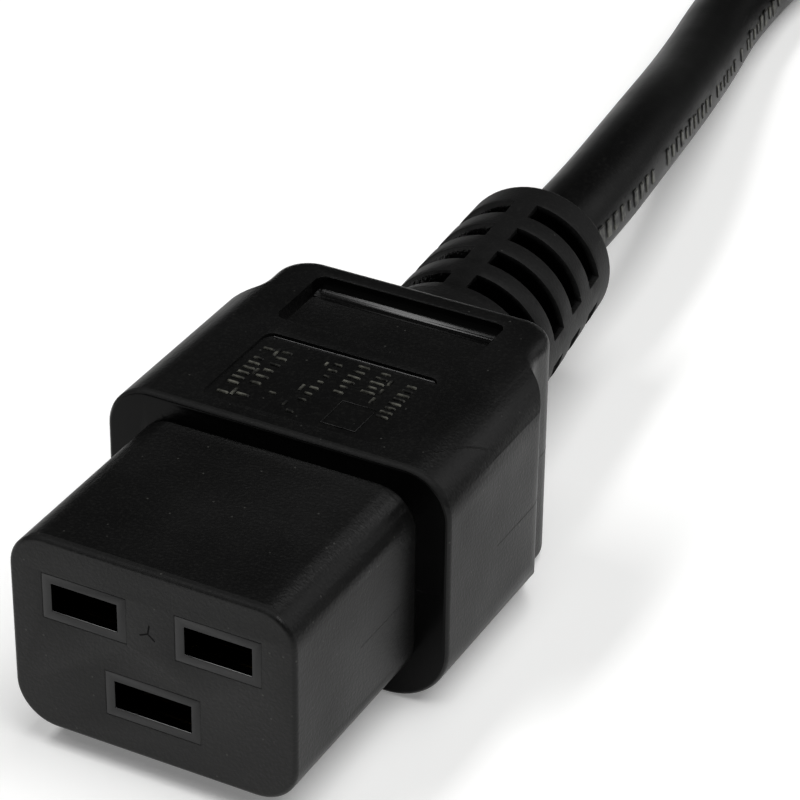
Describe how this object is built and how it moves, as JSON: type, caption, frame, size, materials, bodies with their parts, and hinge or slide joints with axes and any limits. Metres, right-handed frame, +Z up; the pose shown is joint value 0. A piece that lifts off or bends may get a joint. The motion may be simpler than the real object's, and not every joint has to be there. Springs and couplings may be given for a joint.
{
  "type": "c19 power connector",
  "caption": "Moulded C19 mains connector with rectangular nose, waisted grip and ringed strain relief, on a round lead that is coiled and ends in a C20 plug.",
  "frame": {"origin": "under the middle of the connector, on the surface it rests on", "axes": "+Y from the nose's face towards the cable, +Z up, +X towards the neutral slot"},
  "size_m": [0.1176, 0.2828, 0.027],
  "materials": {
    "body_pvc": "fine spark-eroded grain, satin black",
    "insert_plastic": "smooth black",
    "sheath_pvc": "extruded satin black",
    "tie_strap": "woven hook-and-loop strap",
    "contact_brass": "rolled strip",
    "blade_plating": "nickel-plated, bright",
    "bare_copper": "bright copper",
    "brown_insulation": "extruded",
    "blue_insulation": "extruded",
    "green_yellow_insulation": "extruded"
  },
  "bodies": {
    "root": {"overmoulded_body": "body_pvc", "contact_carrier": "insert_plastic", "carrier_cap": "insert_plastic", "cable_in_connector": "sheath_pvc", "cable": "sheath_pvc", "cable_coil": "sheath_pvc", "coil_tie": "tie_strap", "cable_tail": "sheath_pvc", "cable_in_plug": "sheath_pvc", "plug_body": "body_pvc", "plug_carrier": "insert_plastic", "line_contact": "contact_brass", "line_core": "brown_insulation", "line_strands": "bare_copper", "plug_line_blade": "blade_plating", "plug_line_core": "brown_insulation", "neutral_contact": "contact_brass", "neutral_core": "blue_insulation", "neutral_strands": "bare_copper", "plug_neutral_blade": "blade_plating", "plug_neutral_core": "blue_insulation", "earth_contact": "contact_brass", "earth_core": "green_yellow_insulation", "earth_strands": "bare_copper", "plug_earth_blade": "blade_plating", "plug_earth_core": "green_yellow_insulation"}
  },
  "joints": []
}
